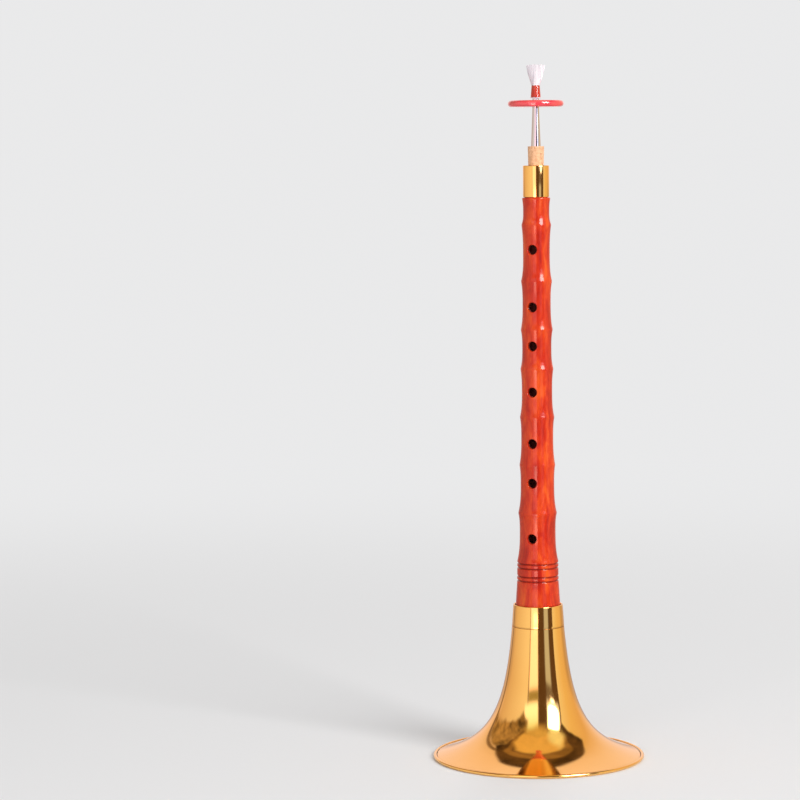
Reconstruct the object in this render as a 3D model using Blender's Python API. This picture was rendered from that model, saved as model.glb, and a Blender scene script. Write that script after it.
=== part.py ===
"""A suona, standing on its bell.

The instrument is turned about one upright axis, the Z axis, and its finger holes
face -Y. Lengths are in metres. From the bottom up: the sheet brass bell with a
wired rim, the bell collar, the wooden stem, the top ferrule, the staple in its
cork, the lip disc, and the reed in its binding. Each piece is modelled from its
own seat on the piece below, so a change of one length lifts all that stands on it.
"""
import math

import bmesh
import bpy

# Bell
RIM_DIAMETER = 0.1270
RIM_WIRE_DIAMETER = 0.0009
HEM_WIDTH = 0.0025
FLARE_END_HEIGHT = 0.0019
BELL_HEIGHT = 0.0799
BELL_NECK_DIAMETER = 0.0314
BELL_SHEET = 0.0005
FLARE_OFFSET = 0.0160
FLARE_POWER = 1.20

# Bell collar
COLLAR_HEIGHT = 0.0131
COLLAR_TOP_DIAMETER = 0.0297
COLLAR_BORE = 0.0279
COLLAR_SKIRT_DEPTH = 0.0060
COLLAR_LIP_ROUND = 0.0004

# Stem: the scallops from the top down, each ending in the ridge below it
STEM_TOP_DIAMETER = 0.0171
SCALLOP_LENGTHS = (0.0160, 0.0336, 0.0289, 0.0234, 0.0289, 0.0287, 0.0289, 0.0290)
RIDGE_DIAMETERS = (0.0177, 0.0185, 0.0191, 0.0197, 0.0206, 0.0214, 0.0231, 0.0246)
VALLEY_DEPTHS = (0.0009, 0.0011, 0.0010, 0.0010, 0.0010, 0.0009, 0.0010, 0.0011)
VALLEY_PLACES = (0.56, 0.56, 0.47, 0.48, 0.48, 0.42, 0.40, 0.37)
VALLEY_CURVE_POWER = 2.3
STEM_FOOT_DIAMETER = 0.0267
FOOT_CONE_LENGTH = 0.0134
GROOVE_BAND_LENGTH = 0.0128
GROOVE_BAND_END_DIAMETER = 0.0250
GROOVE_WIDTH = 0.0013
GROOVE_DEPTH = 0.0005
GROOVE_PAIR_PITCH = 0.0026
FIRST_GROOVE_DROP = 0.0012
SECOND_PAIR_DROP = 0.0089

# Stem: tenons, bore and holes
LOWER_TENON_LENGTH = 0.0200
LOWER_TENON_DIAMETER = 0.0246
TENON_CORK_LENGTH = 0.0150
TENON_CORK_DROP = 0.0015
TENON_CORK_DIAMETER = 0.0272
BORE_TOP_DIAMETER = 0.0070
BORE_END_DIAMETER = 0.0175
FINGER_HOLE_DIAMETER = 0.0059
FINGER_HOLE_PLACES = (0.44, 0.53, 0.41, 0.47, 0.54, 0.36, 0.51)
THUMB_HOLE_RISE = 0.0070

# Top ferrule
FERRULE_HEIGHT = 0.0190
FERRULE_DIAMETER = 0.0156
FERRULE_WALL = 0.0006
FERRULE_EDGE_ROUND = 0.0005

# Staple and its cork
STAPLE_WALL = 0.0004
STAPLE_TIP_DIAMETER = 0.0036
STAPLE_NECK_DIAMETER = 0.0042
STAPLE_WAIST_DIAMETER = 0.0058
STAPLE_FOOT_DIAMETER = 0.0066
STAPLE_NECK_DROP = 0.0135
STAPLE_EXPOSED = 0.0284
CORK_ABOVE_FERRULE = 0.0113
CORK_LENGTH = 0.0270
CORK_TOP_DIAMETER = 0.0097
CORK_FOOT_DIAMETER = 0.0083

# Lip disc
DISC_DIAMETER = 0.0331
DISC_THICKNESS = 0.0039
DISC_DISH = 0.0003
DISC_TO_REED = 0.0013

# Reed and its binding
REED_LENGTH = 0.0197
REED_TIP_WIDTH = 0.0119
REED_TIP_THICKNESS = 0.0015
REED_TIP_ARC = 0.0005
REED_WAIST_DIAMETER = 0.0049
REED_WALL = 0.0003
REED_FOOT_DIAMETER = 0.0062
REED_FOOT_THICKNESS = 0.0004
REED_FAN_BULGE = 0.42
STAPLE_IN_REED = 0.0040
BINDING_LENGTH = 0.0068
BINDING_FOOT_DIAMETER = 0.0060
BINDING_TOP_DIAMETER = 0.0050
BINDING_WALL = 0.0003

# Clearances
SEAT_GAP = 0.0003
FIT_GAP = 0.00015
SLIDE_GAP = 0.00022

# Facets, and the angles of the hem's roll in degrees from straight outwards
BELL_SIDES = 48
STEM_SIDES = 36
STAPLE_SIDES = 24
HOLE_SIDES = 16
FLARE_STEPS = 15
FLARE_STEP_CROWDING = 1.9
SCALLOP_HALF_STEPS = 4
REED_STEPS = 6
REED_THINNING = 1.5
HEM_OPENING_ANGLE = 135
HEM_FACET_ANGLE = 45
SHARP_EDGE_ANGLE = 35

# Places worked out from the lengths above
STEM_LENGTH = sum(SCALLOP_LENGTHS) + GROOVE_BAND_LENGTH + FOOT_CONE_LENGTH
STAPLE_TIP = CORK_ABOVE_FERRULE + STAPLE_EXPOSED + STAPLE_IN_REED
STAPLE_FOOT = CORK_ABOVE_FERRULE - CORK_LENGTH
REED_SEAT = CORK_ABOVE_FERRULE + STAPLE_EXPOSED
DISC_SEAT = REED_SEAT - DISC_TO_REED - DISC_THICKNESS / 2


def clear_scene():
    for thing in list(bpy.data.objects):
        bpy.data.objects.remove(thing, do_unlink=True)


def material(name, colour, roughness, metallic):
    made = bpy.data.materials.new(name)
    made.use_nodes = True
    shader = made.node_tree.nodes["Principled BSDF"]
    shader.inputs["Base Color"].default_value = (*colour, 1.0)
    shader.inputs["Roughness"].default_value = roughness
    shader.inputs["Metallic"].default_value = metallic
    return made


def place(mesh, name, finish, parent=None, height=0.0):
    """Put a mesh in the scene as one named sub-part, on the axis at a height above its parent."""
    mesh.materials.append(finish)
    mesh.shade_smooth()
    mesh.set_sharp_from_angle(angle=math.radians(SHARP_EDGE_ANGLE))
    piece = bpy.data.objects.new(name, mesh)
    bpy.context.scene.collection.objects.link(piece)
    piece.parent = parent
    piece.location = (0.0, 0.0, height)
    return piece


def turned(name, profile, sides):
    """Spin a closed outline of (radius, height) points once round the Z axis."""
    shape = bmesh.new()
    corners = [shape.verts.new((radius, 0.0, height)) for radius, height in profile]
    edges = [shape.edges.new((corner, corners[index - 1])) for index, corner in enumerate(corners)]
    bmesh.ops.spin(shape, geom=corners + edges, axis=(0, 0, 1), cent=(0, 0, 0),
                   steps=sides, angle=math.tau, use_duplicate=False)
    bmesh.ops.remove_doubles(shape, verts=shape.verts, dist=1e-6)
    bmesh.ops.recalc_face_normals(shape, faces=shape.faces)
    mesh = bpy.data.meshes.new(name)
    shape.to_mesh(mesh)
    shape.free()
    return mesh


def between(start, end, share):
    return start + (end - start) * share


def arc_point(centre_radius, centre_height, radius, degrees):
    """A point on an arc in the outline's plane, its angle taken from the +radius direction."""
    angle = math.radians(degrees)
    return centre_radius + radius * math.cos(angle), centre_height + radius * math.sin(angle)


def arc(centre_radius, centre_height, radius, start, end, steps):
    return [arc_point(centre_radius, centre_height, radius, between(start, end, step / steps))
            for step in range(steps + 1)]


def flare_radius(height):
    """Outer radius of the bell at a height above the rim: a horn curve through neck and hem."""
    def bend(level):
        return (level + FLARE_OFFSET) ** -FLARE_POWER

    neck = BELL_NECK_DIAMETER / 2
    hem = RIM_DIAMETER / 2 - HEM_WIDTH
    share = (bend(height) - bend(BELL_HEIGHT)) / (bend(FLARE_END_HEIGHT) - bend(BELL_HEIGHT))
    return between(neck, hem, share)


def flare_line():
    """Outer line of the bell from the neck down to the hem, its points closer near the rim."""
    line = []
    for step in range(FLARE_STEPS + 1):
        share = (1 - step / FLARE_STEPS) ** FLARE_STEP_CROWDING
        height = between(FLARE_END_HEIGHT, BELL_HEIGHT, share)
        line.append((flare_radius(height), height))
    return line


def inset_line(line, distance):
    """Copy of a line that runs downwards and outwards, moved inwards by a sheet's thickness."""
    moved = []
    for index, (radius, height) in enumerate(line):
        before = line[max(index - 1, 0)]
        after = line[min(index + 1, len(line) - 1)]
        run = after[0] - before[0]
        fall = after[1] - before[1]
        length = math.hypot(run, fall)
        moved.append((radius + distance * fall / length, height - distance * run / length))
    return moved


def hem_centre():
    """Radius of the hem's roll, and the radius and height of its centre line."""
    roll = RIM_WIRE_DIAMETER / 2 + FIT_GAP + BELL_SHEET
    return roll, RIM_DIAMETER / 2 - roll, roll


def make_bell(brass):
    """Thin sheet on the horn curve, its hem rolled outwards and under, flat where it stands."""
    roll, centre_radius, centre_height = hem_centre()
    outside = flare_line()
    inside = inset_line(outside, BELL_SHEET)
    opening = HEM_OPENING_ANGLE
    half_facet = HEM_FACET_ANGLE / 2
    corner = roll / math.cos(math.radians(half_facet))
    hollow = arc(centre_radius, centre_height, roll - BELL_SHEET, -opening, opening,
                 2 * opening // HEM_FACET_ANGLE)
    rolled_edge = arc_point(centre_radius, centre_height, roll, opening)
    octagon = arc(centre_radius, centre_height, corner, opening - half_facet, half_facet - opening,
                  2 * opening // HEM_FACET_ANGLE - 1)
    underside = arc_point(centre_radius, centre_height, roll, -opening)
    profile = outside + hollow + [rolled_edge] + octagon + [underside] + inside[::-1]
    return place(turned("bell", profile, BELL_SIDES), "bell", brass)


def make_rim_wire(steel, bell):
    roll, centre_radius, centre_height = hem_centre()
    section = arc(centre_radius, centre_height, RIM_WIRE_DIAMETER / 2, 0, 360, 6)[:-1]
    return place(turned("rim_wire", section, BELL_SIDES), "rim_wire", steel, bell)


def make_bell_collar(brass, bell):
    """Conical outside, straight bore, and a skirt that reaches down inside the bell's neck."""
    top = COLLAR_TOP_DIAMETER / 2
    seam = BELL_NECK_DIAMETER / 2
    bore = COLLAR_BORE / 2
    skirt = seam - BELL_SHEET - SEAT_GAP
    lip = COLLAR_LIP_ROUND
    profile = [
        (bore, COLLAR_HEIGHT - lip),
        (bore + lip / 3, COLLAR_HEIGHT),
        (top - lip, COLLAR_HEIGHT),
        (top, COLLAR_HEIGHT - lip),
        (seam, SEAT_GAP),
        (skirt, SEAT_GAP),
        (skirt, -COLLAR_SKIRT_DEPTH),
        (bore, -COLLAR_SKIRT_DEPTH),
    ]
    mesh = turned("bell_collar", profile, BELL_SIDES)
    return place(mesh, "bell_collar", brass, bell, BELL_HEIGHT)


def scallops():
    """Top, length and end diameters of each scallop, from the top of the stem down."""
    rows = []
    top = STEM_LENGTH
    upper = STEM_TOP_DIAMETER
    for length, lower, depth, place_share in zip(SCALLOP_LENGTHS, RIDGE_DIAMETERS,
                                                 VALLEY_DEPTHS, VALLEY_PLACES):
        rows.append((top, length, upper, lower, depth, place_share))
        top -= length
        upper = lower
    return rows


def finger_hole_heights():
    """Each scallop but the top one has a finger hole near its valley."""
    return [top - length * share for (top, length, *_), share in zip(scallops()[1:], FINGER_HOLE_PLACES)]


def scallop_line(top, length, upper, lower, depth, share):
    """One scallop without its lower ridge: two slopes that meet level in the valley."""
    valley = top - length * share
    floor = between(upper, lower, share) / 2 - depth
    line = []
    for step in range(SCALLOP_HALF_STEPS):
        part = 1 - step / SCALLOP_HALF_STEPS
        swell = part ** VALLEY_CURVE_POWER
        line.append((between(floor, upper / 2, swell), between(valley, top, part)))
    for step in range(SCALLOP_HALF_STEPS):
        part = step / SCALLOP_HALF_STEPS
        swell = part ** VALLEY_CURVE_POWER
        line.append((between(floor, lower / 2, swell), between(valley, top - length, part)))
    return line


def groove_line():
    """The band below the lowest ridge, with two pairs of turned grooves."""
    top = FOOT_CONE_LENGTH + GROOVE_BAND_LENGTH
    line = [(RIDGE_DIAMETERS[-1] / 2, top)]
    for pair_drop in (FIRST_GROOVE_DROP, SECOND_PAIR_DROP):
        for drop in (pair_drop, pair_drop + GROOVE_PAIR_PITCH):
            surface = between(RIDGE_DIAMETERS[-1], GROOVE_BAND_END_DIAMETER, drop / GROOVE_BAND_LENGTH) / 2
            line.append((surface, top - drop + GROOVE_WIDTH / 2))
            line.append((surface - GROOVE_DEPTH, top - drop))
            line.append((surface, top - drop - GROOVE_WIDTH / 2))
    line.append((GROOVE_BAND_END_DIAMETER / 2, FOOT_CONE_LENGTH))
    return line


def cork_radius(height):
    """Outer radius of the staple's cork at a height above the top of the ferrule."""
    share = (height - STAPLE_FOOT) / CORK_LENGTH
    return between(CORK_FOOT_DIAMETER, CORK_TOP_DIAMETER, share) / 2


def bore_radius(height):
    """Radius of the stem's conical bore at a height above the collar's lip."""
    top = STEM_LENGTH + FERRULE_HEIGHT + STAPLE_FOOT
    share = (height + LOWER_TENON_LENGTH) / (top + LOWER_TENON_LENGTH)
    return between(BORE_END_DIAMETER, BORE_TOP_DIAMETER, share) / 2


def make_stem(wood, bell):
    upper_tenon = FERRULE_DIAMETER / 2 - FERRULE_WALL - FIT_GAP
    tenon_top = STEM_LENGTH + FERRULE_HEIGHT - FERRULE_WALL - SEAT_GAP
    socket_floor = STEM_LENGTH + FERRULE_HEIGHT + STAPLE_FOOT - SEAT_GAP
    ferrule_top = STEM_LENGTH + FERRULE_HEIGHT
    profile = [(upper_tenon, tenon_top), (upper_tenon, STEM_LENGTH)]
    for row in scallops():
        profile += scallop_line(*row)
    profile += groove_line()
    profile += [
        (STEM_FOOT_DIAMETER / 2, 0.0),
        (STEM_FOOT_DIAMETER / 2, -TENON_CORK_DROP + SEAT_GAP),
        (LOWER_TENON_DIAMETER / 2, -TENON_CORK_DROP + SEAT_GAP),
        (LOWER_TENON_DIAMETER / 2, -LOWER_TENON_LENGTH),
        (BORE_END_DIAMETER / 2, -LOWER_TENON_LENGTH),
        (bore_radius(STEM_LENGTH / 2), STEM_LENGTH / 2),
        (bore_radius(socket_floor), socket_floor),
        (cork_radius(STAPLE_FOOT) + SLIDE_GAP, socket_floor),
        (cork_radius(tenon_top - ferrule_top) + SLIDE_GAP, tenon_top),
    ]
    stem = place(turned("stem", profile, STEM_SIDES), "stem", wood, bell, BELL_HEIGHT + COLLAR_HEIGHT)
    drill_holes(stem)
    return stem


def add_drill(shape, height, facing, reach):
    """A closed cylinder from the stem's axis outwards, to the front (-1) or the back (+1)."""
    rings = []
    for depth in (0.0, reach):
        ring = []
        for side in range(HOLE_SIDES):
            angle = math.tau * (side + 0.5) / HOLE_SIDES
            across = FINGER_HOLE_DIAMETER / 2 * math.cos(angle)
            rise = FINGER_HOLE_DIAMETER / 2 * math.sin(angle)
            ring.append(shape.verts.new((across, facing * depth, height + rise)))
        rings.append(ring)
        shape.faces.new(ring)
    inner, outer = rings
    for side in range(HOLE_SIDES):
        shape.faces.new((inner[side - 1], inner[side], outer[side], outer[side - 1]))


def drill_holes(stem):
    """Seven finger holes in front, and the thumb hole behind, between the upper two."""
    reach = max(RIDGE_DIAMETERS)
    shape = bmesh.new()
    for height in finger_hole_heights():
        add_drill(shape, height, -1, reach)
    ridge = STEM_LENGTH - sum(SCALLOP_LENGTHS[:2])
    add_drill(shape, ridge + THUMB_HOLE_RISE, 1, reach)
    bmesh.ops.recalc_face_normals(shape, faces=shape.faces)
    mesh = bpy.data.meshes.new("finger_hole_drills")
    shape.to_mesh(mesh)
    shape.free()
    drills = bpy.data.objects.new("finger_hole_drills", mesh)
    bpy.context.scene.collection.objects.link(drills)
    drills.parent = stem
    drills.hide_render = True
    drills.display_type = "WIRE"
    cut = stem.modifiers.new("finger_holes", "BOOLEAN")
    cut.object = drills
    cut.operation = "DIFFERENCE"
    cut.solver = "EXACT"


def make_tenon_cork(cork, stem):
    inner = LOWER_TENON_DIAMETER / 2 + FIT_GAP
    outer = TENON_CORK_DIAMETER / 2
    edge = SEAT_GAP
    top = -TENON_CORK_DROP
    foot = top - TENON_CORK_LENGTH
    profile = [
        (inner, top),
        (outer - edge, top),
        (outer, top - edge),
        (outer, foot + edge),
        (outer - edge, foot),
        (inner, foot),
    ]
    return place(turned("tenon_cork", profile, STEM_SIDES), "tenon_cork", cork, stem)


def make_top_ferrule(brass, stem):
    """A cap with a round top edge and a hole that the staple's cork goes through."""
    outer = FERRULE_DIAMETER / 2
    inner = outer - FERRULE_WALL
    under = FERRULE_HEIGHT - FERRULE_WALL
    edge = FERRULE_EDGE_ROUND
    profile = [(inner, SEAT_GAP), (outer, SEAT_GAP)]
    profile += arc(outer - edge, FERRULE_HEIGHT - edge, edge, 0, 90, 3)
    profile += [
        (cork_radius(0.0) + SLIDE_GAP, FERRULE_HEIGHT),
        (cork_radius(-FERRULE_WALL) + SLIDE_GAP, under),
        (inner, under),
    ]
    mesh = turned("top_ferrule", profile, STEM_SIDES)
    return place(mesh, "top_ferrule", brass, stem, STEM_LENGTH)


def staple_line():
    """Outer line of the staple from its tip down, measured from the ferrule's top."""
    return [
        (STAPLE_TIP_DIAMETER / 2, STAPLE_TIP),
        (STAPLE_NECK_DIAMETER / 2, STAPLE_TIP - STAPLE_NECK_DROP),
        (STAPLE_WAIST_DIAMETER / 2, CORK_ABOVE_FERRULE),
        (STAPLE_FOOT_DIAMETER / 2, STAPLE_FOOT),
    ]


def staple_radius(height):
    line = staple_line()
    for (upper_radius, upper), (lower_radius, lower) in zip(line, line[1:]):
        if height >= lower:
            return between(lower_radius, upper_radius, (height - lower) / (upper - lower))
    return line[-1][0]


def make_staple(silver, stem):
    outside = staple_line()
    inside = [(radius - STAPLE_WALL, height) for radius, height in outside]
    mesh = turned("staple", outside + inside[::-1], STAPLE_SIDES)
    return place(mesh, "staple", silver, stem, STEM_LENGTH + FERRULE_HEIGHT)


def make_staple_cork(cork, staple):
    top = CORK_ABOVE_FERRULE
    profile = [
        (staple_radius(top) + FIT_GAP, top),
        (cork_radius(top), top),
        (cork_radius(STAPLE_FOOT), STAPLE_FOOT),
        (staple_radius(STAPLE_FOOT) + FIT_GAP, STAPLE_FOOT),
    ]
    return place(turned("staple_cork", profile, STAPLE_SIDES), "staple_cork", cork, staple)


def make_lip_disc(plastic, staple):
    """A thick disc with a fully round edge and slightly dished faces, on the staple's neck."""
    half = DISC_THICKNESS / 2
    edge_centre = DISC_DIAMETER / 2 - half
    hole = staple_radius(DISC_SEAT - half) + SLIDE_GAP
    face = half - DISC_DISH
    profile = [(hole, -face), (between(hole, edge_centre, 0.5), -face - DISC_DISH / 4)]
    profile += arc(edge_centre, 0.0, half, -90, 90, 6)
    profile += [(between(hole, edge_centre, 0.5), face + DISC_DISH / 4), (hole, face)]
    return place(turned("lip_disc", profile, STEM_SIDES), "lip_disc", plastic, staple, DISC_SEAT)


def binding_radius(height):
    """Outer radius of the binding at a height above the reed's foot."""
    share = (height - REED_FOOT_THICKNESS - FIT_GAP) / BINDING_LENGTH
    return between(BINDING_FOOT_DIAMETER, BINDING_TOP_DIAMETER, share) / 2


def reed_tube_lines():
    """Outer and inner lines of the reed's round tube, from its foot up to the waist."""
    foot = REED_FOOT_THICKNESS
    top = foot + FIT_GAP + BINDING_LENGTH
    inset = BINDING_WALL + FIT_GAP
    outside = [
        (REED_FOOT_DIAMETER / 2, 0.0),
        (REED_FOOT_DIAMETER / 2, foot),
        (binding_radius(foot) - inset, foot),
        (binding_radius(top) - inset, top),
    ]
    tip_room = STAPLE_IN_REED + SEAT_GAP
    inside = [
        (staple_radius(REED_SEAT) + SLIDE_GAP, 0.0),
        (staple_radius(STAPLE_TIP) + SLIDE_GAP, tip_room),
        (binding_radius(top) - inset - REED_WALL, top),
    ]
    return outside, inside


def oval_ring(shape, half_width, half_depth, height, tip_arc):
    """A ring of corners, wide along X, whose sides drop a little below its middle."""
    ring = []
    for side in range(STAPLE_SIDES):
        angle = math.tau * side / STAPLE_SIDES
        drop = tip_arc * math.cos(angle) ** 2
        ring.append(shape.verts.new((half_width * math.cos(angle), half_depth * math.sin(angle),
                                     height - drop)))
    return ring


def bridge(shape, first, second):
    for side in range(len(first)):
        shape.faces.new((first[side - 1], first[side], second[side], second[side - 1]))


def make_reed(cane, lip_disc):
    """A tube that is round at the staple and pressed into two wide blades at the tip."""
    outside, inside = reed_tube_lines()
    fan_foot = outside[-1][1] + FIT_GAP
    waist = REED_WAIST_DIAMETER / 2
    shape = bmesh.new()
    outer_rings = [oval_ring(shape, radius, radius, height, 0.0) for radius, height in outside]
    inner_rings = [oval_ring(shape, radius, radius, height, 0.0) for radius, height in inside]
    for step in range(REED_STEPS + 1):
        share = step / REED_STEPS
        spread = (1 + REED_FAN_BULGE) * share - REED_FAN_BULGE * share ** 2
        half_width = between(waist, REED_TIP_WIDTH / 2, spread)
        half_depth = between(REED_TIP_THICKNESS / 2, waist, (1 - share) ** REED_THINNING)
        height = between(fan_foot, REED_LENGTH, share)
        sag = REED_TIP_ARC * share
        outer_rings.append(oval_ring(shape, half_width, half_depth, height, sag))
        inner_rings.append(oval_ring(shape, half_width - REED_WALL, half_depth - REED_WALL, height, sag))
    for rings in (outer_rings, inner_rings):
        for lower, upper in zip(rings, rings[1:]):
            bridge(shape, lower, upper)
    bridge(shape, outer_rings[0], inner_rings[0])
    bridge(shape, outer_rings[-1], inner_rings[-1])
    bmesh.ops.recalc_face_normals(shape, faces=shape.faces)
    mesh = bpy.data.meshes.new("reed")
    shape.to_mesh(mesh)
    shape.free()
    return place(mesh, "reed", cane, lip_disc, REED_SEAT - DISC_SEAT)


def make_reed_binding(lacquer, reed):
    foot = REED_FOOT_THICKNESS + FIT_GAP
    top = foot + BINDING_LENGTH
    edge = BINDING_WALL / 2
    profile = [
        (binding_radius(foot) - BINDING_WALL, foot),
        (binding_radius(foot), foot),
        (binding_radius(top - edge), top - edge),
        (binding_radius(top) - edge, top),
        (binding_radius(top) - BINDING_WALL, top),
    ]
    return place(turned("reed_binding", profile, STAPLE_SIDES), "reed_binding", lacquer, reed)


def build():
    clear_scene()
    brass = material("lacquered_brass", (0.86, 0.52, 0.17), 0.12, 1.0)
    wire = material("steel_wire", (0.55, 0.54, 0.52), 0.35, 1.0)
    wood = material("red_rosewood", (0.55, 0.06, 0.02), 0.22, 0.0)
    cork = material("cork", (0.76, 0.53, 0.33), 0.85, 0.0)
    silver = material("nickel_silver", (0.78, 0.75, 0.71), 0.15, 1.0)
    red = material("red_plastic", (0.80, 0.03, 0.05), 0.15, 0.0)
    lacquer = material("red_binding_lacquer", (0.55, 0.03, 0.01), 0.20, 0.0)
    pale = material("bleached_cane", (0.86, 0.84, 0.86), 0.55, 0.0)

    bell = make_bell(brass)
    make_rim_wire(wire, bell)
    make_bell_collar(brass, bell)
    stem = make_stem(wood, bell)
    make_tenon_cork(cork, stem)
    make_top_ferrule(brass, stem)
    staple = make_staple(silver, stem)
    make_staple_cork(cork, staple)
    lip_disc = make_lip_disc(red, staple)
    reed = make_reed(pale, lip_disc)
    make_reed_binding(lacquer, reed)


build()
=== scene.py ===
"""The looks of a suona that stands on its bell: fine turned surfaces, finishes, light and camera."""
import math

import bmesh
import bpy
from mathutils import Matrix, Vector, noise


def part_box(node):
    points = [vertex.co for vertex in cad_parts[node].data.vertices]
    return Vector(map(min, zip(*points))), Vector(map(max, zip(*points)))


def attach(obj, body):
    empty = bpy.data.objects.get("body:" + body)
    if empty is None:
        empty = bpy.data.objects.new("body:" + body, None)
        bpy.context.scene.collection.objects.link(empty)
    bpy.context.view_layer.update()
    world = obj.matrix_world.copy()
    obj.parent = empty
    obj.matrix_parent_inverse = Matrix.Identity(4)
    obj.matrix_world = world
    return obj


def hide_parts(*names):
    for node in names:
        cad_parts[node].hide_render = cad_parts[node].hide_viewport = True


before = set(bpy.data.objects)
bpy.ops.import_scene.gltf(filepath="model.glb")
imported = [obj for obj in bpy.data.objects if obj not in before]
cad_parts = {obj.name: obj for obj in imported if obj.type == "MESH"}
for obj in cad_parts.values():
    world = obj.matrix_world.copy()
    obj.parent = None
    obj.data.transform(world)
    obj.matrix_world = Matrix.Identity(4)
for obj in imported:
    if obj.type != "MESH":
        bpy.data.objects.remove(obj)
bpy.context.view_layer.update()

# Heights and radii read from the frame, in metres
BELL_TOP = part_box("bell")[1].z
RIM_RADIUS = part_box("bell")[1].x
COLLAR_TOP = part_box("bell_collar")[1].z
COLLAR_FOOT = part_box("bell_collar")[0].z
STEM_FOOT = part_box("stem")[0].z
STEM_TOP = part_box("stem")[1].z
FERRULE_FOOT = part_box("top_ferrule")[0].z
FERRULE_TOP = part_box("top_ferrule")[1].z
STAPLE_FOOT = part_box("staple")[0].z
STAPLE_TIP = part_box("staple")[1].z
CORK_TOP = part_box("staple_cork")[1].z
DISC_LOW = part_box("lip_disc")[0].z
DISC_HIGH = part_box("lip_disc")[1].z
DISC_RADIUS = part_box("lip_disc")[1].x
REED_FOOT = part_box("reed")[0].z
REED_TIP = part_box("reed")[1].z

# Bell, spun from sheet, with its hem rolled outwards
SHEET = 0.0005
HEM_WIDTH = 0.0025
HEM_ROLL = 0.0011
HEM_START_ANGLE = -140.0
HEM_END_ANGLE = 138.0
FLARE_END_HEIGHT = 0.0019
FLARE_OFFSET = 0.0160
FLARE_POWER = 1.20
NECK_RADIUS = 0.0157
SEAM_ROUND = 0.00022
BELL_STEPS = 150
BELL_SIDES = 192

# Collar
COLLAR_BORE = 0.01395
COLLAR_TOP_RADIUS = 0.01485
COLLAR_SKIRT_RADIUS = 0.0149
COLLAR_LIP_ROUND = 0.0004

# Stem, from the top down
STEM_TOP_DIAMETER = 0.0171
SCALLOP_LENGTHS = (0.0160, 0.0336, 0.0289, 0.0234, 0.0289, 0.0287, 0.0289, 0.0290)
RIDGE_DIAMETERS = (0.0177, 0.0185, 0.0191, 0.0197, 0.0206, 0.0214, 0.0231, 0.0246)
VALLEY_DEPTHS = (0.0009, 0.0011, 0.0010, 0.0010, 0.0010, 0.0009, 0.0010, 0.0011)
VALLEY_PLACES = (0.56, 0.56, 0.47, 0.48, 0.48, 0.42, 0.40, 0.37)
UPPER_SLOPE_POWER = 3.0
LOWER_SLOPE_POWER = 2.9
RIDGE_SOFTNESS = 0.0010
STEM_SHOULDER_ROUND = 0.0007
STEM_FOOT_DIAMETER = 0.0267
FOOT_CONE_LENGTH = 0.0134
GROOVE_BAND_LENGTH = 0.0128
GROOVE_BAND_END_DIAMETER = 0.0250
GROOVE_WIDTH = 0.0015
GROOVE_DEPTH = 0.0006
GROOVE_DROPS = (0.0012, 0.0038, 0.0089, 0.0115)
STEM_LENGTH = sum(SCALLOP_LENGTHS) + GROOVE_BAND_LENGTH + FOOT_CONE_LENGTH
UPPER_TENON_RADIUS = 0.00705
LOWER_TENON_RADIUS = 0.0123
LOWER_TENON_SHOULDER = 0.0012
BORE_FOOT_RADIUS = 0.00875
SOCKET_FLOOR_RADIUS = 0.0035
SOCKET_FLOOR = STAPLE_FOOT - 0.0003
FINGER_HOLE_PLACES = (0.44, 0.53, 0.41, 0.47, 0.54, 0.36, 0.51)
HOLE_RADIUS = 0.00295
HOLE_EASING = 0.0004
THUMB_HOLE_RISE = 0.0070
LACQUER_REACH = 0.0022
HOLE_SIDES = 48
STEM_SIDES = 144

# Cork band on the lower tenon
TENON_CORK_RADIUS = 0.0136
TENON_CORK_INNER_RADIUS = 0.01245

# Ferrule
FERRULE_RADIUS = 0.0078
FERRULE_WALL = 0.0006
FERRULE_EDGE = 0.0005

# Staple and its cork
STAPLE_WALL = 0.0004
STAPLE_TIP_RADIUS = 0.0018
STAPLE_NECK_RADIUS = 0.0021
STAPLE_WAIST_RADIUS = 0.0029
STAPLE_FOOT_RADIUS = 0.0033
STAPLE_NECK_DROP = 0.0135
CORK_TOP_RADIUS = 0.00485
CORK_FOOT_RADIUS = 0.00415

# Lip disc
DISC_DISH = 0.0003

# Binding and reed
BINDING_FOOT_RADIUS = 0.0030
BINDING_TOP_RADIUS = 0.0025
BINDING_TURNS = 30
THREAD_RADIUS = 0.00018
LACQUER_SINK = 0.00004
REED_TIP_HALF_WIDTH = 0.00595
REED_TIP_HALF_DEPTH = 0.00075
REED_WAIST_RADIUS = 0.00245
REED_WALL = 0.0003
REED_TIP_ARC = 0.0005
REED_FAN_BULGE = 0.42
REED_RIBS = 22
REED_RIB_HEIGHT = 0.000018
SMALL_SIDES = 96

# Camera, fitted to the photograph
CAMERA_AZIMUTH = 20.0
CAMERA_DISTANCE = 1.6945
CAMERA_HEIGHT = 0.3664
CAMERA_PITCH = 5.056
CAMERA_YAW = 2.769
CAMERA_ROLL = -0.507
CAMERA_LENS = 128.01

# Studio. Wall colours are given by azimuth from the camera's side, as a mirror sees them.
PAPER = (0.82, 0.82, 0.825)
EYE_LEVEL = 0.15
DOME_RADIUS = 3.0
DOME_STEP = 1.5
UNLIT = (0.125, 0.080, 0.045)
WARMTH = (1.0, 0.89, 0.74)
KEY_AZIMUTH = 43.0
KEY_DISTANCE = 0.97
LEFT_WALL = (
    (0, (1.05, 1.05, 1.05)),
    (45, (1.05, 1.07, 1.05)),
    (90, (0.90, 0.84, 0.77)),
    (120, (0.78, 0.66, 0.56)),
    (150, (1.00, 0.90, 1.00)),
    (180, (1.05, 0.97, 1.12)),
)
RIGHT_WALL = (
    (0, (1.05, 1.05, 1.05)),
    (66, (0.97, 1.00, 0.90)),
    (94, (0.91, 0.79, 0.50)),
    (128, (0.84, 0.66, 0.42)),
    (155, (0.98, 0.88, 0.95)),
    (180, (1.05, 0.97, 1.12)),
)


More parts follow.
